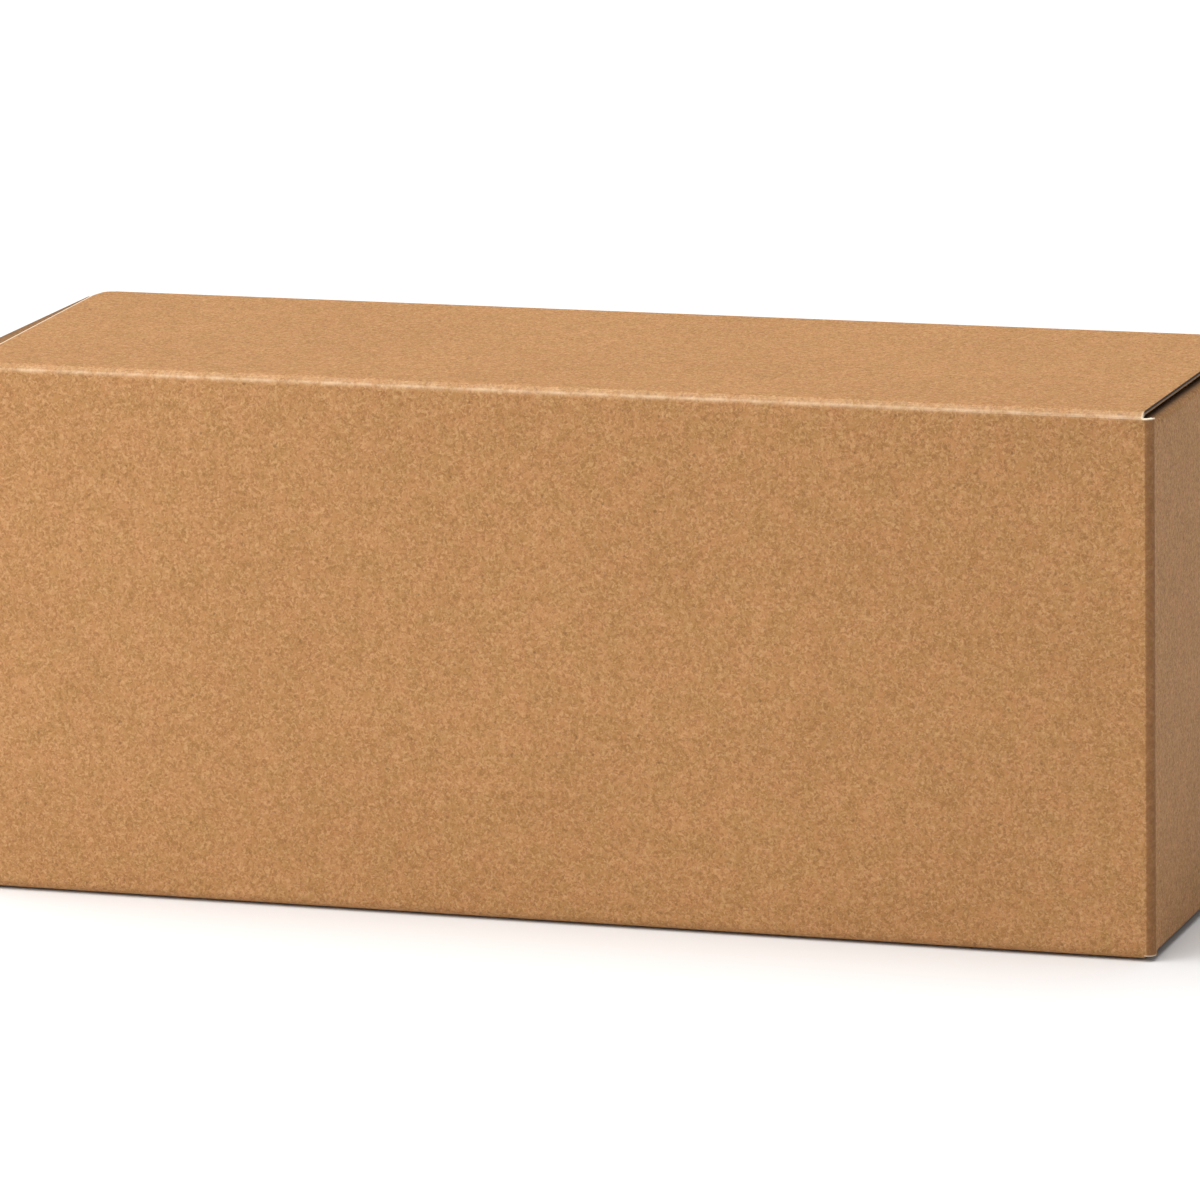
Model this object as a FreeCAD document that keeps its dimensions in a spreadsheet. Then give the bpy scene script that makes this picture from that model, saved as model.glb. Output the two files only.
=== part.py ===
import FreeCAD, Part
import os

# A closed tuck-top carton, folded from one sheet of brown board and lying with its long side in front.
# X runs along the length, Y from the front to the back and Z up. The origin is the middle of the base.
# Sizes are in millimetres and angles in degrees.
SIZES = {
    "length": 300.0,             # outside, from end wall to end wall
    "depth": 105.0,              # outside, from the front wall to the back wall
    "height": 129.0,             # outside, from the lower closure to the upper one
    "board": 1.1,                # thickness of the sheet
    "wall_radius": 2.0,          # outer radius of the upright creases
    "hinge_radius": 2.4,         # outer radius of the creases that the closures turn on
    "tuck_radius": 2.2,          # outer radius of the crease between a closure and its tab
    "dust_radius": 2.0,          # outer radius of the creases of the dust flaps
    "rim_drop": 1.5,             # from a closure's outer face to the cut rim of the walls
    "closure_gap": 0.2,          # between a closure and the dust flaps under it
    "right_inset": 2.0,          # from the right end to the closure's cut edge
    "left_inset_hinge": 4.8,     # from the left end to the closure's cut edge, at its hinge
    "left_inset_tuck": 1.0,      # the same at the back, because that edge is cut off square
    "panel_corner": 2.4,         # rounding of the closure's corners beside the tab
    "tab_length": 13.0,          # straight part of the tab
    "tab_inset": 3.0,            # from the closure's cut edges to the tab's
    "tab_corner": 9.0,           # rounding of the tab's free corners
    "tab_lean": 5.0,             # how far the tab is folded past square, so that it clears the back wall
    "tab_clearance": 0.3,        # between the tab's crease and the back wall
    "dust_length": 46.0,         # flat part of a dust flap
    "dust_front_gap": 2.6,       # from the front to a dust flap's cut edge
    "dust_back_gap": 5.0,        # from the back to a dust flap's cut edge
    "dust_front_taper": 3.0,     # how far the front edge runs in towards the flap's free end
    "dust_back_taper": 10.0,     # the same for the back edge, which leaves the tab its room
    "dust_corner": 7.0,          # rounding of a dust flap's free corners
    "glue_width": 18.0,          # glue flap inside the left end wall
    "glue_taper": 12.0,          # how much lower each end of the glue flap's free edge is
    "seam_inset": 0.6,           # from the back to the left end wall's cut end
    "trim_margin": 1.0,          # how far the tools that trim the sheet reach past it
}

X = FreeCAD.Vector(1, 0, 0)
Y = FreeCAD.Vector(0, 1, 0)
Z = FreeCAD.Vector(0, 0, 1)

# Heights and places that several pieces share, for the upper half of the carton.
DUST_TOP = "(Sizes.height - Sizes.board - Sizes.closure_gap)"
DUST_FOLD_HEIGHT = DUST_TOP + " - Sizes.dust_radius"
DUST_RUN = "Sizes.depth - Sizes.dust_front_gap - Sizes.dust_back_gap"
HINGE_Y = "-Sizes.depth / 2 + Sizes.hinge_radius"
HINGE_Z = "Sizes.height - Sizes.hinge_radius"
HINGE_RUN = "Sizes.length - Sizes.left_inset_hinge - Sizes.right_inset"
TUCK_Y = "(Sizes.depth / 2 - Sizes.board - Sizes.tab_clearance - Sizes.tuck_radius)"
TAB_RUN = "Sizes.length - Sizes.left_inset_tuck - Sizes.right_inset - 2 * Sizes.tab_inset"
RIGHT_EDGE = "Sizes.length / 2 - Sizes.right_inset"
WALL_HEIGHT = "(Sizes.height - 2 * Sizes.rim_drop)"
SEAM_X = "(-Sizes.length / 2 + Sizes.board + Sizes.wall_radius)"
SEAM_Y = "(Sizes.depth / 2 - Sizes.wall_radius)"


def make_sheet(doc):
    sheet = doc.addObject("Spreadsheet::Sheet", "Sizes")
    for row, (name, value) in enumerate(SIZES.items(), start=1):
        sheet.set("A%d" % row, name)
        sheet.set("B%d" % row, str(value))
        sheet.setAlias("B%d" % row, name)
    doc.recompute()
    return sheet


def turn(x_axis, y_axis, z_axis):
    """Rotation that lays an object's own axes along the three given ones."""
    return FreeCAD.Rotation(x_axis, y_axis, z_axis, "XYZ")


def bind(obj, **sizes):
    for name, expression in sizes.items():
        obj.setExpression(name, expression)


def place(obj, x, y, z, rotation=None):
    obj.Placement = FreeCAD.Placement(FreeCAD.Vector(), rotation or FreeCAD.Rotation())
    obj.setExpression(".Placement.Base.x", x)
    obj.setExpression(".Placement.Base.y", y)
    obj.setExpression(".Placement.Base.z", z)


def block(doc, name, size, at, rotation=None):
    obj = doc.addObject("Part::Box", name)
    bind(obj, Length=size[0], Width=size[1], Height=size[2])
    place(obj, *at, rotation)
    return obj


def taper(doc, name, near, far, run, thickness, at, rotation=None):
    """Flat piece of sheet that spans near at its own y = 0 and far at y = run."""
    obj = doc.addObject("Part::Wedge", name)
    bind(obj, Xmin=near[0], Xmax=near[1], X2min=far[0], X2max=far[1], Ymax=run)
    bind(obj, Zmax=thickness, Z2max=thickness)
    obj.Ymin = 0
    obj.Zmin = 0
    obj.Z2min = 0
    place(obj, *at, rotation)
    return obj


def upright_taper(doc, name, near, far, run, thickness, at, rotation):
    """The same for a piece that stands: its own z spans near and far, and its own x is the thickness."""
    obj = doc.addObject("Part::Wedge", name)
    bind(obj, Zmin=near[0], Zmax=near[1], Z2min=far[0], Z2max=far[1], Ymax=run)
    bind(obj, Xmax=thickness, X2max=thickness)
    obj.Xmin = 0
    obj.X2min = 0
    obj.Ymin = 0
    place(obj, *at, rotation)
    return obj


def cut(doc, name, base, tool):
    obj = doc.addObject("Part::Cut", name)
    obj.Base = base
    obj.Tool = tool
    return obj


def fuse(doc, name, pieces):
    obj = doc.addObject("Part::MultiFuse", name)
    obj.Shapes = pieces
    obj.Refine = True
    return obj


def mirror(doc, name, source, normal):
    """Copy of a piece on the other side of the carton's middle, across X or across Z."""
    obj = doc.addObject("Part::Mirroring", name)
    obj.Source = source
    obj.Normal = normal
    obj.setExpression(".Base.z", "Sizes.height / 2")
    return obj


def both_ends(doc, piece):
    return [piece, mirror(doc, piece.Name + "_left", piece, X)]


def both_levels(doc, pieces):
    return pieces + [mirror(doc, piece.Name + "_low", piece, Z) for piece in pieces]


def crease(doc, name, radius, angle, run, rotation, at):
    """Bent strip of sheet: a sector of a tube round its own z, which starts at its own x axis."""
    pair = []
    for side, size in (("outer", radius), ("inner", radius + " - Sizes.board")):
        obj = doc.addObject("Part::Cylinder", name + "_" + side)
        bind(obj, Radius=size, Angle=angle, Height=run)
        place(obj, *at, rotation)
        pair.append(obj)
    return cut(doc, name, pair[0], pair[1])


def round_edges(doc, name, base, radius, wanted):
    """Rounds the straight edges of a piece that the given test picks."""
    doc.recompute()
    picked = []
    for number, edge in enumerate(base.Shape.Edges, start=1):
        if wanted(edge.CenterOfMass, edge.tangentAt(edge.FirstParameter)):
            picked.append((number, radius, radius))
    obj = doc.addObject("Part::Fillet", name)
    obj.Base = base
    obj.Edges = picked
    return obj


def is_along(direction, axis):
    return abs(direction.dot(axis)) > 0.99


def rounded_block(doc, name, radius, size, at):
    corners = block(doc, name + "_block", size, at)
    return round_edges(doc, name, corners, radius, lambda middle, along: is_along(along, Z))


# The walls: left, front, right and back round the upright axis, with the glue flap inside the left wall.
def wall_tube(doc, sheet):
    outside = rounded_block(
        doc, "walls_outside", sheet.wall_radius,
        ("Sizes.length", "Sizes.depth", WALL_HEIGHT),
        ("-Sizes.length / 2", "-Sizes.depth / 2", "Sizes.rim_drop"))
    inside = rounded_block(
        doc, "walls_inside", sheet.wall_radius - sheet.board,
        ("Sizes.length - 2 * Sizes.board", "Sizes.depth - 2 * Sizes.board", "Sizes.height"),
        ("-Sizes.length / 2 + Sizes.board", "-Sizes.depth / 2 + Sizes.board", "0"))
    return cut(doc, "wall_ring", outside, inside)


def seam_trim(doc):
    """Clears the back left corner, where the sheet's two ends meet."""
    width = "Sizes.board + Sizes.wall_radius + Sizes.trim_margin"
    depth = "Sizes.wall_radius + Sizes.trim_margin"
    return block(
        doc, "seam_trim", (width, depth, "Sizes.height"),
        ("-Sizes.length / 2 - Sizes.trim_margin", SEAM_Y, "0"))


def seam_pieces(doc):
    """The left wall's cut end, and the crease and glue flap that the back wall carries inside it."""
    wall_end = block(
        doc, "left_wall_end", ("Sizes.board", "Sizes.wall_radius - Sizes.seam_inset", WALL_HEIGHT),
        ("-Sizes.length / 2", SEAM_Y, "Sizes.rim_drop"))
    bend = crease(
        doc, "glue_crease", "Sizes.wall_radius", "90", WALL_HEIGHT, turn(Y, -X, Z),
        (SEAM_X, SEAM_Y, "Sizes.rim_drop"))
    flap = upright_taper(
        doc, "glue_flap",
        ("0", WALL_HEIGHT), ("Sizes.glue_taper", WALL_HEIGHT + " - Sizes.glue_taper"),
        "Sizes.glue_width", "Sizes.board",
        ("-Sizes.length / 2 + 2 * Sizes.board", SEAM_Y, "Sizes.rim_drop"),
        turn(-X, -Y, Z))
    return [wall_end, bend, flap]


def hinge_trim(doc):
    """Lowers the front wall's rim to where the closure's crease starts, and leaves a relief at each corner."""
    return block(
        doc, "hinge_trim",
        (HINGE_RUN, "Sizes.board + 2 * Sizes.trim_margin", "Sizes.hinge_radius"),
        ("-Sizes.length / 2 + Sizes.left_inset_hinge", "-Sizes.depth / 2 - Sizes.trim_margin", HINGE_Z))


def hinge_lip(doc):
    """The front wall's half of the closure's crease, up to the line that the closure turns on."""
    return crease(
        doc, "hinge_lip", "Sizes.hinge_radius", "45", HINGE_RUN, turn(-Y, Z, -X),
        (RIGHT_EDGE, HINGE_Y, HINGE_Z))


# The dust flaps: one on each end wall, above and below, folded in under the closures.
def dust_trim(doc):
    """Lowers an end wall's rim to where the dust flap's crease starts."""
    return block(
        doc, "dust_trim",
        ("Sizes.board + 2 * Sizes.trim_margin", DUST_RUN, "Sizes.height - (" + DUST_FOLD_HEIGHT + ")"),
        ("Sizes.length / 2 - Sizes.board - Sizes.trim_margin", "-Sizes.depth / 2 + Sizes.dust_front_gap",
         DUST_FOLD_HEIGHT))


def dust_flap(doc, sheet):
    bend = crease(
        doc, "dust_crease", "Sizes.dust_radius", "90", DUST_RUN, turn(X, Z, -Y),
        ("Sizes.length / 2 - Sizes.dust_radius", "Sizes.depth / 2 - Sizes.dust_back_gap", DUST_FOLD_HEIGHT))
    flat = taper(
        doc, "dust_flat",
        ("-Sizes.depth / 2 + Sizes.dust_front_gap", "Sizes.depth / 2 - Sizes.dust_back_gap"),
        ("-Sizes.depth / 2 + Sizes.dust_front_gap + Sizes.dust_front_taper",
         "Sizes.depth / 2 - Sizes.dust_back_gap - Sizes.dust_back_taper"),
        "Sizes.dust_length", "Sizes.board",
        ("Sizes.length / 2 - Sizes.dust_radius", "0", DUST_TOP + " - Sizes.board"),
        turn(Y, -X, Z))
    free_end = sheet.length / 2 - sheet.dust_radius - sheet.dust_length

    def is_free_corner(middle, along):
        return is_along(along, Z) and abs(middle.x - free_end) < sheet.board / 2

    rounded = round_edges(doc, "dust_flat_rounded", flat, sheet.dust_corner, is_free_corner)
    return [bend, rounded]


def carton_body(doc, sheet):
    trims = both_levels(doc, [hinge_trim(doc)] + both_ends(doc, dust_trim(doc)))
    trims.append(seam_trim(doc))
    trimmed = cut(doc, "trimmed_walls", wall_tube(doc, sheet), fuse(doc, "trims", trims))
    folds = [hinge_lip(doc)]
    for piece in dust_flap(doc, sheet):
        folds += both_ends(doc, piece)
    body = fuse(doc, "carton", [trimmed] + seam_pieces(doc) + both_levels(doc, folds))
    body.Label = "carton_body"
    return body


# A closure: the panel, its half of the hinge crease, and the tab that tucks in behind the back wall.
def closure_panel(doc, sheet):
    flat = taper(
        doc, "panel_flat",
        ("-Sizes.length / 2 + Sizes.left_inset_hinge", RIGHT_EDGE),
        ("-Sizes.length / 2 + Sizes.left_inset_tuck", RIGHT_EDGE),
        TUCK_Y + " - (" + HINGE_Y + ")", "Sizes.board",
        ("0", HINGE_Y, "Sizes.height - Sizes.board"))

    def is_back_corner(middle, along):
        return is_along(along, Z) and middle.y > 0

    return round_edges(doc, "panel", flat, sheet.panel_corner, is_back_corner)


def closure_tab(doc, sheet):
    left_edge = "-Sizes.length / 2 + Sizes.left_inset_tuck + Sizes.tab_inset"
    bend = crease(
        doc, "tuck_crease", "Sizes.tuck_radius", "90 + Sizes.tab_lean", TAB_RUN, turn(Z, Y, -X),
        (RIGHT_EDGE + " - Sizes.tab_inset", TUCK_Y, "Sizes.height - Sizes.tuck_radius"))
    inner = "(Sizes.tuck_radius - Sizes.board)"
    free_y = TUCK_Y + " + " + inner + " * cos(Sizes.tab_lean) - Sizes.tab_length * sin(Sizes.tab_lean)"
    fall = inner + " * sin(Sizes.tab_lean) + Sizes.tab_length * cos(Sizes.tab_lean)"
    straight = block(
        doc, "tab_flat", (TAB_RUN, "Sizes.board", "Sizes.tab_length"),
        (left_edge, free_y, "Sizes.height - Sizes.tuck_radius - (" + fall + ")"),
        FreeCAD.Rotation(X, -sheet.tab_lean))
    mid_height = sheet.height - sheet.tuck_radius - sheet.tab_length / 2

    def is_free_corner(middle, along):
        return is_along(along, Y) and middle.z < mid_height

    return [bend, round_edges(doc, "tab", straight, sheet.tab_corner, is_free_corner)]


def closures(doc, sheet):
    lip = crease(
        doc, "closure_lip", "Sizes.hinge_radius", "45", HINGE_RUN, turn(Z, -Y, X),
        ("-Sizes.length / 2 + Sizes.left_inset_hinge", HINGE_Y, HINGE_Z))
    upper = fuse(doc, "upper", [lip, closure_panel(doc, sheet)] + closure_tab(doc, sheet))
    upper.Label = "top_closure"
    lower = mirror(doc, "lower", upper, Z)
    lower.Label = "bottom_closure"
    return [upper, lower]


def check(doc, parts):
    for obj in doc.Objects:
        if "Invalid" in obj.State or "Error" in obj.State:
            raise RuntimeError("%s could not be computed: %s" % (obj.Name, obj.State))
    for obj in parts:
        shape = obj.Shape
        if shape.isNull() or not shape.isValid() or len(shape.Solids) != 1:
            raise RuntimeError("%s is not one valid solid" % obj.Label)


def main():
    doc = FreeCAD.newDocument("carton")
    sheet = make_sheet(doc)
    parts = [carton_body(doc, sheet)] + closures(doc, sheet)
    doc.recompute()
    check(doc, parts)
    os.makedirs("parts", exist_ok=True)
    for obj in parts:
        obj.Shape.exportStep("parts/" + obj.Label + ".step")
        print(obj.Label, "volume", round(obj.Shape.Volume, 1), "box", obj.Shape.BoundBox)


main()
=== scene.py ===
from math import atan2, pi, radians, sin

import bmesh
import bpy
from mathutils import Matrix, Vector
from mathutils.bvhtree import BVHTree


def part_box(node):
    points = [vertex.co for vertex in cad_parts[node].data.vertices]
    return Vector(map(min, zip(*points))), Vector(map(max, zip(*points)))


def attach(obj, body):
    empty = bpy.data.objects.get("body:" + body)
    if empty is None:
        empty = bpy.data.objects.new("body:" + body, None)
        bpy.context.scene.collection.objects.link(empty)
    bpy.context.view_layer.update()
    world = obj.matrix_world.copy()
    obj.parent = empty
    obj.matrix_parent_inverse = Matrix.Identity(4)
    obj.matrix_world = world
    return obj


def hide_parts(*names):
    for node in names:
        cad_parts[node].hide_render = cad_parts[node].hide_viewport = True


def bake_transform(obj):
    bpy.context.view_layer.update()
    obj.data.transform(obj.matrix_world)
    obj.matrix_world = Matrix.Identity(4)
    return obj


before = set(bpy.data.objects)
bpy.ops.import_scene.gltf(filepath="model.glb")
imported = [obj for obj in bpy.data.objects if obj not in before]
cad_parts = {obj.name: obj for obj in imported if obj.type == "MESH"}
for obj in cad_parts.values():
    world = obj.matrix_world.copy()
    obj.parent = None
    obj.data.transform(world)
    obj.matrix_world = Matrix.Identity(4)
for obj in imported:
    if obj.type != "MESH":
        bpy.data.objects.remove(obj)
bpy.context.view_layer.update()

# A closed tuck-top carton folded from one sheet of brown kraft board. X runs along it, Y from the front to
# the back and Z up, in metres. The sheet's outer face is folded first, and then it gets its thickness and
# its cut edges.
MM = 0.001
QUARTER_TURN = radians(90)

CARTON_LOW, CARTON_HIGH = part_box("carton_body")
PANEL_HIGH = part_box("top_closure")[1]
RIGHT = CARTON_HIGH.x
LEFT = CARTON_LOW.x
FRONT = CARTON_LOW.y
BACK = CARTON_HIGH.y
TOP = PANEL_HIGH.z

# The sheet and its creases.
BOARD = 1.1 * MM
WALL_RADIUS = 2.0 * MM
HINGE_RADIUS = 2.4 * MM
TUCK_RADIUS = 2.2 * MM
RIGHT_DUST_RADIUS = 2.1 * MM
LEFT_DUST_RADIUS = 0.7 * MM
LOWER_DUST_RADIUS = 1.3 * MM     # the lower ones are pressed sharp by the load
EDGE_WEAR = 0.1 * MM             # how far the corners of a cut edge are rounded
EDGE_STEPS = 2
CORNER_STEPS = 6
CREASE_STEPS = 10
HINGE_STEPS = 18
CUT_EDGE_ANGLE = radians(60)     # a fold at least this sharp is a cut edge and no part of a crease
SMOOTH_ANGLE = radians(50)
NEAR = 0.01 * MM                 # two places closer than this are the same place

# Heights. The lower closure bulges under the load, so that its creases stand a little off the floor.
BULGE = 0.5 * MM
BULGE_ROWS = 10
BULGE_COLUMNS = 12
MIDDLE = (TOP + BULGE) / 2       # the lower closure is the upper one, mirrored about this height
UPPER_RIM = TOP - 1.5 * MM
LOWER_RIM = 1.4 * MM
BACK_CORNER_CUT = 0.4 * MM       # how much lower the upper rim is at the left back corner
HINGE_FOLD = TOP - HINGE_RADIUS
UPPER_SEAM = HINGE_FOLD - 0.9 * MM
LOWER_SEAM = TOP + BULGE - UPPER_SEAM

# The closure panel and its tab.
HINGE_LEFT = LEFT + 8.4 * MM
PANEL_LEFT_AT_TUCK = LEFT + 3.2 * MM
PANEL_RIGHT = RIGHT - 2.4 * MM
HINGE_FOLD_Y = FRONT + HINGE_RADIUS
PANEL_FRONT = HINGE_FOLD_Y + 1.5 * MM    # where the soft hinge crease ends and the panel starts
TUCK_FOLD_Y = PANEL_HIGH.y - TUCK_RADIUS
PANEL_SLANT = (PANEL_LEFT_AT_TUCK - HINGE_LEFT) / (TUCK_FOLD_Y - HINGE_FOLD_Y)
PANEL_CORNER = 2.0 * MM
PANEL_CORNER_STEPS = 4
CORNER_CUT = 1.5 * MM            # how much the panel's sides draw in towards the back corners
CORNER_CUT_LENGTH = 7.0 * MM
TAB_INSET = 4.0 * MM
TAB_LENGTH = 13.0 * MM
TAB_CORNER = 9.0 * MM
TAB_LEAN = radians(5)

# The dust flaps and the glue flap.
RIGHT_DUST_GAP = 1.0 * MM        # between the upper closure and the dust flap under it
LEFT_DUST_GAP = 0.15 * MM        # the same at the left, at the back of the flap
LEFT_DUST_DIP = 0.5 * MM         # how much lower the left upper dust flap lies at its front
LOWER_DUST_GAP = 0.1 * MM
DUST_FRONT = FRONT + 2.6 * MM
DUST_BACK = BACK - 5.0 * MM
DUST_LENGTH = 46.0 * MM
DUST_FRONT_TAPER = 3.0 * MM
DUST_BACK_TAPER = 10.0 * MM
DUST_CORNER = 7.0 * MM
GLUE_WIDTH = 18.0 * MM
GLUE_TAPER = 12.0 * MM
SEAM_X = LEFT + BOARD + WALL_RADIUS      # where the back wall's crease to the glue flap starts
SEAM_INSET = 0.6 * MM            # how far the left wall's cut edge stops short of the back

# Painted shade and painted highlights.
DUST_SHADE = 14.0 * MM           # how far the painted shade of a dust flap's crease reaches over the flap
LEFT_FLAP_SHADE = 0.75            # how strong the painted shade on the left upper flap's crease is, where the others have 1
RIM_WIDTH = 0.5 * MM             # how wide the painted highlight shows along a cut edge
# How strong the painted highlight is at the front right corner's rims.
CORNER_RIM_HIGHLIGHT = 0.75
SLIT_RIM_START = 0.2             # how far round the hinge crease the painted highlight at its end starts

# Colours of the board, and of the painted shade and highlights on it, in linear red, green and blue.
DEEP_BROWN = (0.425, 0.217, 0.073)
PALE_BROWN = (0.486, 0.232, 0.089)
CLOUD_BROWN = (0.34, 0.155, 0.052)
FLOCK_BROWN = (0.30, 0.135, 0.043)
GRAIN_BROWN = (0.29, 0.135, 0.046)
DARK_FIBRE = (0.22, 0.095, 0.028)
LIGHT_FIBRE = (0.68, 0.42, 0.20)
LIGHT_CURL = (0.68, 0.42, 0.21)
SPECK_BROWN = (0.12, 0.055, 0.02)
CREASE_BROWN = (0.20, 0.085, 0.03)
# The hinge crease's pale ridge: rubbed paler, and a painted highlight.
PALE_RIDGE_AND_HIGHLIGHT = (0.85, 0.63, 0.42)
# Painted shade round the dust flaps' creases, under the closure.
TUCKED_PAINTED_SHADE = (0.045, 0.020, 0.007)
# Painted shade in a cut edge, just under the outer paper.
SHADE_UNDER_OUTER_PAPER = (0.022, 0.010, 0.004)
INNER_LAYERS = (0.28, 0.16, 0.085)
# A painted highlight along cut rims.
PALE_RIM_HIGHLIGHT = (0.98, 0.84, 0.66)
BOARD_ROUGHNESS = 0.7
BOARD_GLOSS = 0.25
FIBRE_RELIEF = 0.05 * MM
FIBRE_RELIEF_STRENGTH = 0.6

# Marks, in pairs: how far round a crease, into the board or across a rim, and how strong the mark is there.
# The hinge crease's ridge: rubbed paler in patches, and a painted highlight.
RIDGE_PALE_AND_HIGHLIGHT_STOPS = (
    (0.02, 0.0), (0.16, 0.14), (0.32, 0.56), (0.40, 0.32), (0.48, 0.12),
    (0.54, 0.22), (0.60, 0.05), (0.67, 0.18), (0.76, 0.03), (0.90, 0.0))
# Painted shade round the dust flaps' creases.
DUST_CREASE_SHADE_STOPS = ((0.0, 0.0), (0.45, 0.20), (0.68, 0.50), (1.0, 0.92))
# In a cut edge: painted shade under the outer paper, then the paler inner layers.
LAYERS_AND_SHADE_STOPS = ((0.10, 0.25), (0.20, 0.0), (0.48, 0.0), (0.62, 1.0), (0.90, 1.0))
CUT_EDGE = ((0.02, 0.0), (0.08, 1.0), (0.95, 1.0), (0.99, 0.0))
# Painted highlight across a rim.
RIM_HIGHLIGHT_STOPS = ((0.0, 0.0), (0.7, 0.9), (1.0, 1.0))

# The studio: a pale floor, a pale room and two lamps that point at the carton.
FLOOR_SIZE = 16.0
FLOOR_COLOUR = (0.8, 0.8, 0.8, 1)
FLOOR_ROUGHNESS = 0.9
FLOOR_GLOSS = 0.1
ROOM_BRIGHTNESS = 0.36
OVERHEAD_PLACE = Vector((-0.28, -0.10, 0.95))
OVERHEAD_STRENGTH = 3.3
OVERHEAD_SPREAD = radians(75)
NEAR_LEFT_PLACE = Vector((-0.45, -0.50, 0.30))
NEAR_LEFT_WATTS = 1.7
NEAR_LEFT_SIZE = 0.4

# The camera, fitted to the edges of the box in the photograph.
CAMERA_PLACE = (0.61446, -1.85179, 0.47673)
CAMERA_TURN = radians(18.371)
CAMERA_TILT = radians(-11.849)
CAMERA_ROLL = radians(0.982)
SENSOR_WIDTH = 36
LENS_LENGTH = 248.9
FARTHEST_SEEN = 50


# Picking and shaping in edit mode.
def leave_edit_mode():
    if bpy.context.mode != "OBJECT":
        bpy.ops.object.mode_set(mode="OBJECT")


def activate(obj):
    leave_edit_mode()
    bpy.ops.object.select_all(action="DESELECT")
    obj.select_set(True)
    bpy.context.view_layer.objects.active = obj


def edit(obj):
    activate(obj)
    bpy.ops.object.mode_set(mode="EDIT")


def middle_of(part, kind):
    if kind == "VERT":
        return part.co
    if kind == "EDGE":
        return (part.verts[0].co + part.verts[1].co) / 2
    return part.calc_center_median()


def pick(obj, kind, wanted):
    """Selects the corners, edges or faces for which wanted says yes, given the middle of each and itself."""
    bpy.ops.mesh.select_all(action="DESELECT")
    bpy.ops.mesh.select_mode(type=kind)
    mesh = bmesh.from_edit_mesh(obj.data)
    parts = {"VERT": mesh.verts, "EDGE": mesh.edges, "FACE": mesh.faces}[kind]
    picked = [part for part in parts if wanted(middle_of(part, kind), part)]
    if not picked:
        raise RuntimeError("nothing was picked on " + obj.name)
    for part in picked:
        part.select_set(True)
    mesh.select_flush_mode()
    bmesh.update_edit_mesh(obj.data)


def same(a, b):
    return abs(a - b) < NEAR


def pull(x=0.0, y=0.0, z=0.0):
    """Draws the picked edges out into a new flat part of the sheet."""
    bpy.ops.mesh.extrude_region_move(TRANSFORM_OT_translate={"value": (x, y, z)})


def fold(angle, middle, axis, steps=CREASE_STEPS):
    """Turns the picked edges into a crease about a line through middle, anticlockwise about the axis."""
    bpy.ops.mesh.spin(steps=steps, angle=-angle, center=middle, axis=axis)


def shift(x=0.0, y=0.0, z=0.0):
    bpy.ops.transform.translate(value=(x, y, z))


def stretch(x, y, z, middle):
    bpy.ops.transform.resize(value=(x, y, z), center_override=middle)


def slice_at(place, direction):
    bpy.ops.mesh.select_all(action="SELECT")
    bpy.ops.mesh.bisect(plane_co=place, plane_no=direction)


def round_corners(radius, steps):
    bpy.ops.mesh.bevel(offset=radius, offset_type="OFFSET", segments=steps, affect="VERTICES")


def new_sheet(name, low, high, upright):
    """Flat piece of the sheet's outer face between two corners, upright along X or lying."""
    leave_edit_mode()
    bpy.ops.object.select_all(action="DESELECT")
    middle = (Vector(low) + Vector(high)) / 2
    turn = (QUARTER_TURN, 0, 0) if upright else (0, 0, 0)
    bpy.ops.mesh.primitive_plane_add(size=1, location=middle, rotation=turn)
    sheet = bpy.context.active_object
    sheet.name = name
    sheet.data.name = name
    span = Vector(high) - Vector(low)
    sheet.scale = (span.x, span.z if upright else span.y, 1)
    bpy.ops.object.transform_apply(location=True, rotation=True, scale=True)
    return sheet


def face_outwards(sheet, outwards=None):
    """Turns the faces out. A sheet that doesn't go round the carton is told which way is outwards."""
    edit(sheet)
    bpy.ops.mesh.select_all(action="SELECT")
    bpy.ops.mesh.remove_doubles(threshold=NEAR)
    bpy.ops.mesh.normals_make_consistent(inside=False)
    mesh = bmesh.from_edit_mesh(sheet.data)
    largest = max(mesh.faces, key=lambda face: face.calc_area())
    if outwards is not None and largest.normal.dot(outwards) < 0:
        bpy.ops.mesh.flip_normals()
    leave_edit_mode()


def mirrored(sheet, name):
    """The same sheet for the lower half of the carton."""
    activate(sheet)
    bpy.ops.object.duplicate()
    copy = bpy.context.active_object
    copy.name = name
    copy.data.name = name
    edit(copy)
    bpy.ops.mesh.select_all(action="SELECT")
    stretch(1, 1, -1, (0, 0, MIDDLE))
    bpy.ops.mesh.flip_normals()
    leave_edit_mode()
    return copy


def note(sheet, name, level):
    """Keeps a number with each corner of the mesh, for the material to read."""
    kept = sheet.data.attributes.new(name, "FLOAT", "POINT")
    for corner in sheet.data.vertices:
        kept.data[corner.index].value = level(corner.co)


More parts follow.
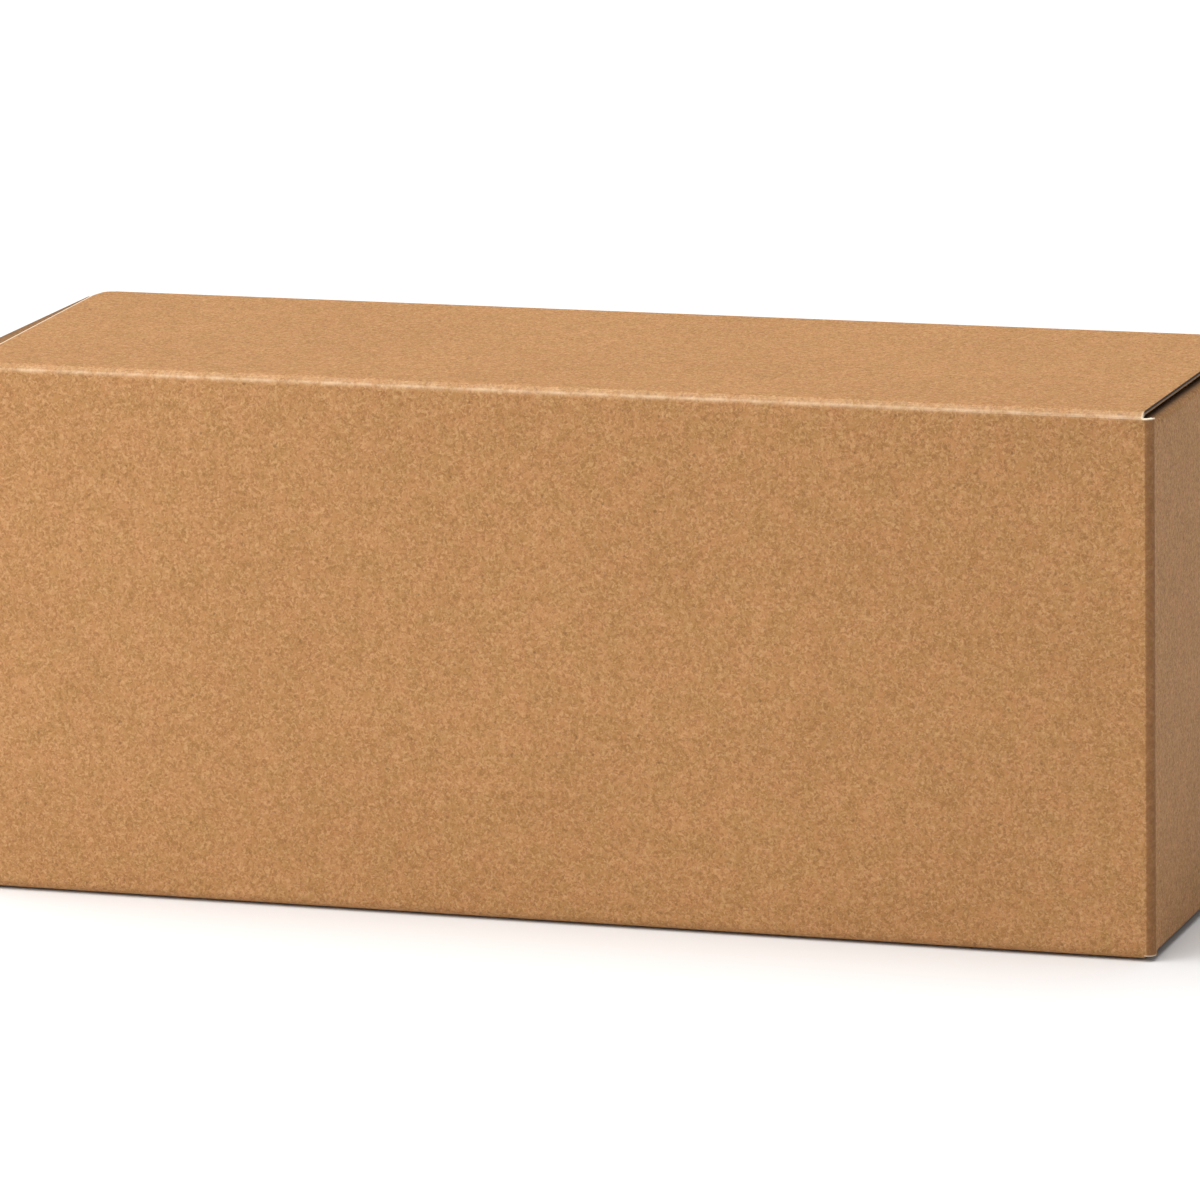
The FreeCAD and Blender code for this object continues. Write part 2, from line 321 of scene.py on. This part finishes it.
def thicken(sheet, seams):
    """Gives the sheet its thickness, rounds its cut edges, and notes how deep in the board a place lies."""
    activate(sheet)
    corners = [corner.co.copy() for corner in sheet.data.vertices]
    outer_face = BVHTree.FromPolygons(corners, [tuple(face.vertices) for face in sheet.data.polygons])
    solid = sheet.modifiers.new("board thickness", "SOLIDIFY")
    solid.thickness = BOARD
    solid.offset = -1
    solid.use_even_offset = True
    bpy.ops.object.modifier_apply(modifier=solid.name)

    def is_cut_edge(middle, edge):
        if edge.calc_face_angle(0) < CUT_EDGE_ANGLE:
            return False
        return not any(abs((middle - place).dot(direction)) < NEAR for place, direction in seams)

    edit(sheet)
    pick(sheet, "EDGE", is_cut_edge)
    bpy.ops.mesh.bevel(offset=EDGE_WEAR, segments=EDGE_STEPS, affect="EDGES")
    leave_edit_mode()
    bpy.ops.object.shade_smooth_by_angle(angle=SMOOTH_ANGLE)
    weigh = sheet.modifiers.new("even shading", "WEIGHTED_NORMAL")
    weigh.keep_sharp = True
    bpy.ops.object.modifier_apply(modifier=weigh.name)

    def depth(place):
        distance = outer_face.find_nearest(place)[3]
        return min(1.0, distance / BOARD)

    note(sheet, "board_depth", depth)


# Where the dust flaps lie: side is 1 at the right and -1 at the left, level is 1 above and -1 below.
def dust_radius(side, level):
    if level < 0:
        return LOWER_DUST_RADIUS
    return RIGHT_DUST_RADIUS if side > 0 else LEFT_DUST_RADIUS


def dust_face(side, level):
    """Height of a dust flap's outer face."""
    if level < 0:
        return BULGE + BOARD + LOWER_DUST_GAP
    return TOP - BOARD - (RIGHT_DUST_GAP if side > 0 else LEFT_DUST_GAP)


def dust_fold(side, level):
    """Height on the end wall where a dust flap's crease starts."""
    return dust_face(side, level) - level * dust_radius(side, level)


# The carton: four walls, the glue flap and four dust flaps.
def wall_sheet():
    sheet = new_sheet(
        "carton_walls", (LEFT + WALL_RADIUS, FRONT, LOWER_RIM),
        (RIGHT - WALL_RADIUS, FRONT, UPPER_RIM), upright=True)
    wrap_walls(sheet)
    cut_rims(sheet)
    for side in (1, -1):
        for level in (1, -1):
            dust_flap(sheet, side, level)
    face_outwards(sheet)
    return sheet


def wrap_walls(sheet):
    """Folds the right wall, back wall and glue flap on at one end of the front, and the left at the other."""
    up = (0, 0, 1)
    wall_middle = (UPPER_RIM + LOWER_RIM) / 2
    edit(sheet)
    pick(sheet, "EDGE", lambda middle, edge: same(middle.x, RIGHT - WALL_RADIUS))
    fold(QUARTER_TURN, (RIGHT - WALL_RADIUS, FRONT + WALL_RADIUS, 0), up)
    pull(y=BACK - FRONT - 2 * WALL_RADIUS)
    fold(QUARTER_TURN, (RIGHT - WALL_RADIUS, BACK - WALL_RADIUS, 0), up)
    pull(x=SEAM_X - (RIGHT - WALL_RADIUS))
    fold(QUARTER_TURN, (SEAM_X, BACK - WALL_RADIUS, 0), up)
    pull(y=-GLUE_WIDTH)
    stretch(1, 1, 1 - GLUE_TAPER / (UPPER_RIM - wall_middle), (0, 0, wall_middle))
    pick(sheet, "EDGE", lambda middle, edge: same(middle.x, LEFT + WALL_RADIUS) and same(middle.y, FRONT))
    fold(-QUARTER_TURN, (LEFT + WALL_RADIUS, FRONT + WALL_RADIUS, 0), up)
    pull(y=BACK - SEAM_INSET - (FRONT + WALL_RADIUS))


def cut_rims(sheet):
    """Cuts the walls down to where dust flaps and hinge creases join them, and one corner a little lower."""
    for height in (dust_fold(1, 1), dust_fold(-1, 1), dust_fold(1, -1), UPPER_SEAM, LOWER_SEAM):
        slice_at((0, 0, height), (0, 0, 1))
    for place in (DUST_FRONT, DUST_BACK):
        slice_at((0, place, 0), (0, 1, 0))
    for place in (HINGE_LEFT, PANEL_RIGHT):
        slice_at((place, 0, 0), (1, 0, 0))

    def is_past_fold(middle, face):
        side = 1 if middle.x > 0 else -1
        if same(abs(middle.x), RIGHT) and DUST_FRONT < middle.y < DUST_BACK:
            return middle.z > dust_fold(side, 1) or middle.z < dust_fold(side, -1)
        on_front = same(middle.y, FRONT) and HINGE_LEFT < middle.x < PANEL_RIGHT
        return on_front and (middle.z > UPPER_SEAM or middle.z < LOWER_SEAM)

    def is_left_back_rim(middle, corner):
        return same(middle.z, UPPER_RIM) and middle.x < SEAM_X + NEAR and middle.y > DUST_BACK + NEAR

    pick(sheet, "FACE", is_past_fold)
    bpy.ops.mesh.delete(type="FACE")
    pick(sheet, "VERT", is_left_back_rim)
    shift(z=-BACK_CORNER_CUT)


def dust_flap(sheet, side, level):
    """Folds one dust flap in from the rim of an end wall."""
    outer_face = dust_face(side, level)
    radius = dust_radius(side, level)
    fold_height = dust_fold(side, level)
    free_end = side * (RIGHT - radius - DUST_LENGTH)

    def is_rim(middle, edge):
        return (same(middle.x, side * RIGHT) and same(middle.z, fold_height)
                and DUST_FRONT < middle.y < DUST_BACK and edge.is_boundary)

    def is_free_end(middle, corner):
        return same(middle.x, free_end) and same(middle.z, outer_face)

    def is_front_end(middle, corner):
        return is_free_end(middle, corner) and same(middle.y, DUST_FRONT)

    def is_back_end(middle, corner):
        return is_free_end(middle, corner) and same(middle.y, DUST_BACK)

    pick(sheet, "EDGE", is_rim)
    fold(-side * level * QUARTER_TURN, (side * (RIGHT - radius), 0, fold_height), (0, 1, 0))
    pull(x=-side * DUST_LENGTH)
    pick(sheet, "VERT", is_front_end)
    shift(y=DUST_FRONT_TAPER)
    pick(sheet, "VERT", is_back_end)
    shift(y=-DUST_BACK_TAPER)
    pick(sheet, "VERT", is_free_end)
    round_corners(DUST_CORNER, CORNER_STEPS)
    if side < 0 and level > 0:
        pick(sheet, "VERT", is_front_of_left_flap)
        shift(z=-LEFT_DUST_DIP)


def is_front_of_left_flap(middle, corner):
    """Whether a corner belongs to the front half of the left upper dust flap or its crease."""
    on_flap = middle.x < LEFT + LEFT_DUST_RADIUS + DUST_LENGTH + NEAR
    return on_flap and middle.z > dust_fold(-1, 1) - NEAR and DUST_FRONT - NEAR < middle.y < 0


# The soft crease that joins the front wall to the upper closure.
def hinge_sheet():
    sheet = new_sheet(
        "upper_hinge_crease", (HINGE_LEFT, FRONT, UPPER_SEAM),
        (PANEL_RIGHT, FRONT, HINGE_FOLD), upright=True)
    edit(sheet)
    pick(sheet, "EDGE", lambda middle, edge: same(middle.z, HINGE_FOLD))
    fold(-QUARTER_TURN, (0, HINGE_FOLD_Y, HINGE_FOLD), (1, 0, 0), HINGE_STEPS)
    pull(y=PANEL_FRONT - HINGE_FOLD_Y)
    pick(sheet, "VERT", lambda middle, corner: same(middle.y, PANEL_FRONT) and middle.x < 0)
    shift(x=panel_left(PANEL_FRONT) - HINGE_LEFT)
    return sheet


def panel_left(y):
    """Where the closure's left cut edge lies, at a distance y behind the middle of the carton."""
    return HINGE_LEFT + (y - HINGE_FOLD_Y) * PANEL_SLANT


# A closure: the panel, the tuck crease and the tab.
def closure_sheet():
    sheet = new_sheet(
        "upper_closure_panel", (PANEL_LEFT_AT_TUCK, PANEL_FRONT, TOP),
        (PANEL_RIGHT, TUCK_FOLD_Y, TOP), upright=False)
    edit(sheet)
    pick(sheet, "VERT", lambda middle, corner: middle.x < 0 and middle.y < 0)
    shift(x=panel_left(PANEL_FRONT) - PANEL_LEFT_AT_TUCK)
    fold_tab(sheet)
    cut_back_corners(sheet)
    return sheet


def fold_tab(sheet):
    """Folds the tab down behind the panel, between the two back corners."""
    slice_at((PANEL_LEFT_AT_TUCK + TAB_INSET, 0, 0), (1, 0, 0))
    slice_at((PANEL_RIGHT - TAB_INSET, 0, 0), (1, 0, 0))

    def is_tuck_fold(middle, edge):
        return same(middle.y, TUCK_FOLD_Y) and edge.calc_length() > 2 * TAB_INSET

    pick(sheet, "EDGE", is_tuck_fold)
    fold(-(QUARTER_TURN + TAB_LEAN), (0, TUCK_FOLD_Y, TOP - TUCK_RADIUS), (1, 0, 0))
    tab = Vector((0, -TAB_LENGTH, 0))
    tab.rotate(Matrix.Rotation(QUARTER_TURN - TAB_LEAN, 3, "X"))
    pull(y=tab.y, z=tab.z)
    pick(sheet, "VERT", lambda middle, corner: middle.z < TOP - TAB_LENGTH)
    round_corners(TAB_CORNER, CORNER_STEPS)


def cut_back_corners(sheet):
    """Draws the panel's sides in beside the tab and rounds its two back corners."""
    slice_at((0, TUCK_FOLD_Y - CORNER_CUT_LENGTH, 0), (0, 1, 0))
    for side in (-1, 1):
        pick(sheet, "VERT", lambda middle, corner: is_back_corner(middle, corner) and middle.x * side > 0)
        shift(x=-side * CORNER_CUT)
    pick(sheet, "VERT", is_back_corner)
    round_corners(PANEL_CORNER, PANEL_CORNER_STEPS)


def is_back_corner(middle, corner):
    beside_tab = (middle.x < PANEL_LEFT_AT_TUCK + TAB_INSET - NEAR
                  or middle.x > PANEL_RIGHT - TAB_INSET + NEAR)
    return beside_tab and same(middle.y, TUCK_FOLD_Y)


def bulge_down(panel):
    """Lets the lower panel sag between its creases until it rests on the floor."""
    width = TUCK_FOLD_Y - PANEL_FRONT
    length = RIGHT - LEFT
    rows = [PANEL_FRONT + width * step / BULGE_ROWS for step in range(1, BULGE_ROWS)]
    columns = [LEFT + length * step / BULGE_COLUMNS for step in range(1, BULGE_COLUMNS)]
    edit(panel)
    for row in rows:
        slice_at((0, row, 0), (0, 1, 0))
    for column in columns:
        slice_at((column, 0, 0), (1, 0, 0))
    for row in rows:
        for column in columns:
            place = Vector((column, row, BULGE))
            pick(panel, "VERT", lambda middle, corner: (middle - place).length < NEAR)
            across = sin(pi * (row - PANEL_FRONT) / width)
            along = sin(pi * (column - LEFT) / length)
            shift(z=-BULGE * across * along)
    leave_edit_mode()


# Numbers that are kept with the corners of the sheets, for the darker creases, the painted shade and the
# painted highlights in the material.
def is_wall_corner(place):
    """Whether a place lies inside the crease between two walls."""
    return abs(place.x) > RIGHT - WALL_RADIUS + NEAR and abs(place.y) > BACK - WALL_RADIUS + NEAR


def dust_crease_shade(place):
    """How much painted shade a place gets: none on the end wall, more round the crease, and less further over
    the flap.
    """
    if not DUST_FRONT - NEAR < place.y < DUST_BACK + NEAR or abs(place.x) < RIGHT - DUST_LENGTH:
        return 0.0
    side = 1 if place.x > 0 else -1
    level = 1 if place.z > MIDDLE else -1
    past_fold = level * (place.z - dust_fold(side, level))
    inside = RIGHT - dust_radius(side, level) - abs(place.x)
    if past_fold < NEAR:
        return 0.0
    strength = LEFT_FLAP_SHADE if side < 0 and level > 0 else 1.0
    if inside > NEAR:
        return strength * (1 - inside / DUST_SHADE)
    return strength * atan2(past_fold, max(0.0, -inside)) / QUARTER_TURN


def corner_rim(place):
    """Painted highlight: strongest at the cut rims of the front right corner, and nothing from about a rim's
    width away.
    """
    if place.x < PANEL_RIGHT - NEAR or place.y > FRONT + WALL_RADIUS + NEAR:
        return -1.0
    return CORNER_RIM_HIGHLIGHT - min(abs(UPPER_RIM - place.z), abs(place.z - LOWER_RIM)) / RIM_WIDTH


def hinge_turn(place):
    """How far round the upper hinge crease a place lies: 0 on the front wall, 1 on the panel."""
    across = max(0.0, HINGE_FOLD_Y - place.y)
    up = max(0.0, place.z - HINGE_FOLD)
    return atan2(up, across) / QUARTER_TURN if across or up else 1.0


def slit_rim(place):
    """Painted highlight: strongest low at the right end of the hinge crease, less further round, nothing a
    rim's width away.
    """
    if hinge_turn(place) < SLIT_RIM_START:
        return -1.0
    return (1 - (PANEL_RIGHT - place.x) / RIM_WIDTH) * (1 - hinge_turn(place))


def panel_left_rim(place):
    """Painted highlight: full at the left cut edge of the panel, and nothing from a rim's width away."""
    return 1 - (place.x - panel_left(place.y)) / RIM_WIDTH


# Materials.
class Pattern:
    """Joins noises, bands of tone and tints into one material."""

    # A Mix node's sockets go by their place, because their names repeat.
    MIX_SHARE = 0
    MIX_UNDER = 6
    MIX_OVER = 7
    MIX_COLOUR = 2

    def __init__(self, name):
        self.material = bpy.data.materials.new(name)
        self.material.use_nodes = True
        self.tree = self.material.node_tree
        self.shader = self.tree.nodes["Principled BSDF"]
        self.place = self.node("ShaderNodeTexCoord").outputs["Object"]

    def node(self, kind, **settings):
        made = self.tree.nodes.new(kind)
        for name, value in settings.items():
            setattr(made, name, value)
        return made

    def feed(self, socket, value):
        """Gives a socket a number, a colour or what comes out of another node."""
        if isinstance(value, tuple):
            socket.default_value = value + (1,)
        elif isinstance(value, (int, float)):
            socket.default_value = value
        else:
            self.tree.links.new(value, socket)

    def kept(self, name):
        return self.node("ShaderNodeAttribute", attribute_name=name).outputs["Fac"]

    def noise(self, scale, detail, distortion, at):
        moved = self.node("ShaderNodeMapping")
        moved.inputs["Location"].default_value = at
        self.feed(moved.inputs["Vector"], self.place)
        made = self.node("ShaderNodeTexNoise")
        self.feed(made.inputs["Vector"], moved.outputs["Vector"])
        made.inputs["Scale"].default_value = scale
        made.inputs["Detail"].default_value = detail
        made.inputs["Distortion"].default_value = distortion
        return made.outputs["Fac"]

    def band(self, value, *stops):
        """Turns a value into a grey that goes from stop to stop, each a pair of a value and its grey."""
        made = self.node("ShaderNodeValToRGB")
        first, last = made.color_ramp.elements
        first.position = stops[0][0]
        first.color = (stops[0][1],) * 3 + (1,)
        last.position = stops[-1][0]
        last.color = (stops[-1][1],) * 3 + (1,)
        for spot, level in stops[1:-1]:
            made.color_ramp.elements.new(spot).color = (level,) * 3 + (1,)
        self.feed(made.inputs["Fac"], value)
        return made.outputs["Color"]

    def work(self, kind, a, b=0.0):
        made = self.node("ShaderNodeMath", operation=kind)
        self.feed(made.inputs[0], a)
        self.feed(made.inputs[1], b)
        return made.outputs[0]

    def times(self, a, b):
        return self.work("MULTIPLY", a, b)

    def tint(self, share, under, over):
        """Lays one colour over another: share is how much of it shows."""
        made = self.node("ShaderNodeMix", data_type="RGBA")
        self.feed(made.inputs[self.MIX_SHARE], share)
        self.feed(made.inputs[self.MIX_UNDER], under)
        self.feed(made.inputs[self.MIX_OVER], over)
        return made.outputs[self.MIX_COLOUR]

    def fibres(self, scale, at, turns):
        """Curls of fibre, light beside dark, along the levels of a noise and broken up by another."""
        levels = self.work("SINE", self.times(self.noise(scale, 1.0, 0.8, at), turns * 2 * pi))
        breaks = self.noise(scale * 0.8, 0.0, 0.0, (at[1], at[2], at[0]))
        breaks = self.band(breaks, (0.30, 0.0), (0.48, 1.0))
        light = self.band(levels, (0.50, 0.0), (1.0, 1.0))
        dark = self.band(self.times(levels, -1.0), (0.50, 0.0), (1.0, 1.0))
        return self.times(light, breaks), self.times(dark, breaks)


def kraft_board():
    """Brown paper with fibres and specks, darker at its wall creases, rubbed pale with a painted highlight at
    the hinge crease, painted shade at the dust flaps' creases, and at a cut edge its layers under a line of
    painted shade, with painted highlights on rims.
    """
    board = Pattern("brown_kraft_board")
    fibres = board.fibres(scale=1250, at=(3.1, 0.7, 1.9), turns=1.9)
    curls = board.fibres(scale=720, at=(7.3, 4.1, 2.2), turns=2.6)
    flock = board.noise(scale=420, detail=3.0, distortion=0.8, at=(5.9, 1.3, 3.7))
    colour = cloudy_brown(board, flock)
    colour = add_fibres(board, colour, fibres, curls)
    colour = wear_and_paint_light_on_creases(board, colour, flock)
    colour = show_cut_edges(board, colour)
    board.feed(board.shader.inputs["Base Color"], colour)
    board.shader.inputs["Roughness"].default_value = BOARD_ROUGHNESS
    board.shader.inputs["Specular IOR Level"].default_value = BOARD_GLOSS
    raise_fibres(board, flock, fibres[0], curls[0])
    return board.material


def cloudy_brown(board, flock):
    grain = board.noise(scale=2400, detail=2.0, distortion=0.0, at=(1.7, 5.3, 0.4))
    mottle = board.noise(scale=170, detail=3.0, distortion=0.5, at=(0.3, 2.9, 6.1))
    cloud = board.noise(scale=26, detail=3.0, distortion=0.3, at=(4.7, 0.9, 2.5))
    colour = board.tint(board.band(mottle, (0.35, 0.0), (0.65, 1.0)), DEEP_BROWN, PALE_BROWN)
    colour = board.tint(board.band(cloud, (0.35, 0.22), (0.65, 0.0)), colour, CLOUD_BROWN)
    colour = board.tint(board.times(board.band(flock, (0.35, 1.0), (0.6, 0.0)), 0.12), colour, FLOCK_BROWN)
    return board.tint(board.times(board.band(grain, (0.3, 1.0), (0.7, 0.0)), 0.25), colour, GRAIN_BROWN)


def add_fibres(board, colour, fibres, curls):
    """Lays the fibres, the wider curls and a few dark specks over the brown."""
    specks = board.noise(scale=800, detail=0.0, distortion=0.0, at=(9.1, 3.3, 5.7))
    light_fibres, dark_fibres = fibres
    light_curls, dark_curls = curls
    colour = board.tint(board.times(dark_fibres, 0.52), colour, DARK_FIBRE)
    colour = board.tint(board.times(light_fibres, 0.36), colour, LIGHT_FIBRE)
    colour = board.tint(board.times(dark_curls, 0.30), colour, DARK_FIBRE)
    colour = board.tint(board.times(light_curls, 0.18), colour, LIGHT_CURL)
    return board.tint(board.times(board.band(specks, (0.76, 0.0), (0.82, 1.0)), 0.45), colour, SPECK_BROWN)


def wear_and_paint_light_on_creases(board, colour, flock):
    """Darkens the wall creases, rubs the hinge crease pale in patches with a painted highlight on it, and
    paints shade round the dust flaps' creases.
    """
    # Darker along the wall creases.
    darker_crease = board.times(board.kept("wall_crease"), board.band(flock, (0.3, 0.82), (0.7, 0.55)))
    colour = board.tint(darker_crease, colour, CREASE_BROWN)
    patches = board.noise(scale=300, detail=3.0, distortion=0.4, at=(6.2, 7.7, 1.1))
    # The hinge crease's ridge, rubbed paler in patches, with a painted highlight.
    ridge = board.band(board.kept("hinge_turn"), *RIDGE_PALE_AND_HIGHLIGHT_STOPS)
    worn_and_lit_ridge = board.times(ridge, board.band(patches, (0.35, 0.35), (0.6, 1.0)))
    colour = board.tint(worn_and_lit_ridge, colour, PALE_RIDGE_AND_HIGHLIGHT)
    # Painted shade round the dust flaps' creases, under the closure.
    return board.tint(board.band(board.kept("dust_crease_shade"), *DUST_CREASE_SHADE_STOPS), colour, TUCKED_PAINTED_SHADE)


def show_cut_edges(board, colour):
    """Paints shade in a dark line under the outer paper, then shows the paler inner layers, and paints
    highlights on the rims.
    """
    depth = board.kept("board_depth")
    # Painted shade just under the outer paper of a cut edge, then the paler inner layers.
    layers = board.tint(board.band(depth, *LAYERS_AND_SHADE_STOPS), SHADE_UNDER_OUTER_PAPER, INNER_LAYERS)
    colour = board.tint(board.band(depth, *CUT_EDGE), colour, layers)
    # A painted highlight along the rims.
    return board.tint(board.band(board.kept("painted_rim_highlight"), *RIM_HIGHLIGHT_STOPS), colour, PALE_RIM_HIGHLIGHT)


def raise_fibres(board, flock, light_fibres, light_curls):
    raised = board.work("ADD", light_fibres, light_curls)
    relief = board.work("ADD", raised, board.times(flock, 0.8))
    bump = board.node("ShaderNodeBump")
    bump.inputs["Strength"].default_value = FIBRE_RELIEF_STRENGTH
    bump.inputs["Distance"].default_value = FIBRE_RELIEF
    board.feed(bump.inputs["Height"], relief)
    board.feed(board.shader.inputs["Normal"], bump.outputs["Normal"])


def pale_floor_finish():
    material = bpy.data.materials.new("pale_floor")
    material.use_nodes = True
    shader = material.node_tree.nodes["Principled BSDF"]
    shader.inputs["Base Color"].default_value = FLOOR_COLOUR
    shader.inputs["Roughness"].default_value = FLOOR_ROUGHNESS
    shader.inputs["Specular IOR Level"].default_value = FLOOR_GLOSS
    return material


# The pieces: the walls and each closure panel on its own body, the two hinge creases on none.
def build_carton(finish):
    walls = wall_sheet()
    hinge = hinge_sheet()
    panel = closure_sheet()
    face_outwards(hinge, Vector((0, -1, 1)))
    face_outwards(panel, Vector((0, 0, 1)))
    lower_hinge = mirrored(hinge, "lower_hinge_crease")
    lower_panel = mirrored(panel, "lower_closure_panel")
    bulge_down(lower_panel)
    panel_seam = (Vector((0, PANEL_FRONT, 0)), Vector((0, 1, 0)))
    upper_seam = (Vector((0, 0, UPPER_SEAM)), Vector((0, 0, 1)))
    lower_seam = (Vector((0, 0, LOWER_SEAM)), Vector((0, 0, 1)))
    thicken(walls, (upper_seam, lower_seam))
    thicken(hinge, (panel_seam, upper_seam))
    thicken(lower_hinge, (panel_seam, lower_seam))
    thicken(panel, (panel_seam,))
    thicken(lower_panel, (panel_seam,))
    note(walls, "wall_crease", is_wall_corner)
    # Painted shade round the dust flaps' creases.
    note(walls, "dust_crease_shade", dust_crease_shade)
    # Painted highlights along cut rims.
    note(walls, "painted_rim_highlight", corner_rim)
    note(hinge, "hinge_turn", hinge_turn)
    # Painted highlights at the hinge crease's end and along the panel's left cut edge.
    note(hinge, "painted_rim_highlight", slit_rim)
    note(panel, "painted_rim_highlight", panel_left_rim)
    for piece in (walls, hinge, panel, lower_hinge, lower_panel):
        piece.data.materials.append(finish)
    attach(walls, "carton")
    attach(panel, "upper_flap")
    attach(lower_panel, "lower_flap")
    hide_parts("carton_body")
    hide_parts("top_closure")
    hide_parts("bottom_closure")
    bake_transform(hinge)
    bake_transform(lower_hinge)


def lay_floor():
    leave_edit_mode()
    bpy.ops.object.select_all(action="DESELECT")
    bpy.ops.mesh.primitive_plane_add(size=FLOOR_SIZE, location=(0, 0, 0))
    floor = bpy.context.active_object
    floor.name = "floor"
    floor.data.materials.append(pale_floor_finish())


def light_studio():
    """A pale room, a broad light overhead, a little to the left, and a small one near the front left."""
    world = bpy.data.worlds.new("pale_room")
    bpy.context.scene.world = world
    world.use_nodes = True
    world.node_tree.nodes["Background"].inputs["Color"].default_value = (1, 1, 1, 1)
    world.node_tree.nodes["Background"].inputs["Strength"].default_value = ROOM_BRIGHTNESS
    overhead = bpy.data.lights.new("broad_overhead", "SUN")
    overhead.energy = OVERHEAD_STRENGTH
    overhead.angle = OVERHEAD_SPREAD
    near_left = bpy.data.lights.new("near_left", "AREA")
    near_left.energy = NEAR_LEFT_WATTS
    near_left.size = NEAR_LEFT_SIZE
    for lamp, place in ((overhead, OVERHEAD_PLACE), (near_left, NEAR_LEFT_PLACE)):
        holder = bpy.data.objects.new(lamp.name, lamp)
        bpy.context.collection.objects.link(holder)
        holder.location = place
        holder.rotation_euler = place.to_track_quat("Z", "Y").to_euler()


def set_camera():
    """The photograph's view: a long lens from the front right, a little above."""
    lens = bpy.data.cameras.new("photo_view")
    lens.sensor_width = SENSOR_WIDTH
    lens.lens = LENS_LENGTH
    lens.clip_end = FARTHEST_SEEN
    camera = bpy.data.objects.new("photo_view", lens)
    bpy.context.collection.objects.link(camera)
    level_view = Matrix.Rotation(QUARTER_TURN, 4, "X")
    turn = Matrix.Rotation(CAMERA_TURN, 4, "Z")
    tilt = Matrix.Rotation(CAMERA_TILT, 4, "X")
    roll = Matrix.Rotation(CAMERA_ROLL, 4, "Y")
    camera.matrix_world = Matrix.Translation(CAMERA_PLACE) @ turn @ tilt @ roll @ level_view
    bpy.context.scene.camera = camera
    bpy.context.scene.view_settings.view_transform = "Standard"


build_carton(kraft_board())
lay_floor()
light_studio()
set_camera()
